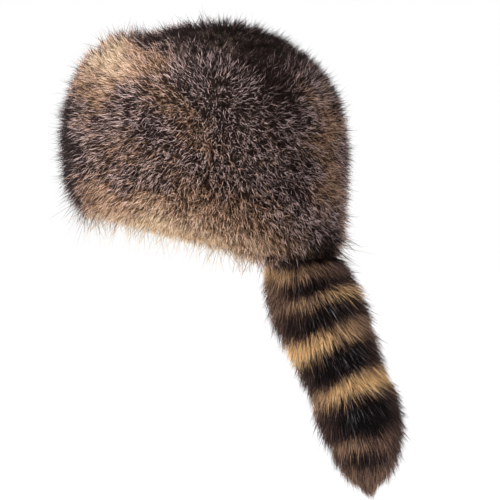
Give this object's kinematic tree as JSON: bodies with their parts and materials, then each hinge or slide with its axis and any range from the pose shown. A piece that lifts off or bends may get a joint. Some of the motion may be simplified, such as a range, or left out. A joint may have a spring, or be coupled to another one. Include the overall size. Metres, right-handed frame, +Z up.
{
  "type": "coonskin cap",
  "caption": "Deep fur cap with a rounded side band, a domed crown, an open hollow for the head, and a ringed tail hanging from the back of the hem.",
  "frame": {"origin": "middle of the head opening, midway between the highest and lowest points of the hem, where the cap sits on a head", "axes": "+Z up out of the head, -Y towards the front of the cap, +Y towards the tail, +X towards the wearer's left ear"},
  "size_m": [0.2287, 0.3157, 0.4019],
  "materials": {
    "pelt_skin": "tanned suede",
    "body_fur": "grizzled fur",
    "crown_fur": "dark grizzled fur",
    "tail_fur": "ringed black and tan fur"
  },
  "bodies": {
    "root": {"side_band": "pelt_skin", "crown_top": "pelt_skin", "side_fur": "body_fur", "crown_fur": "crown_fur", "tail_skin": "pelt_skin", "tail_fur": "tail_fur"}
  },
  "joints": []
}
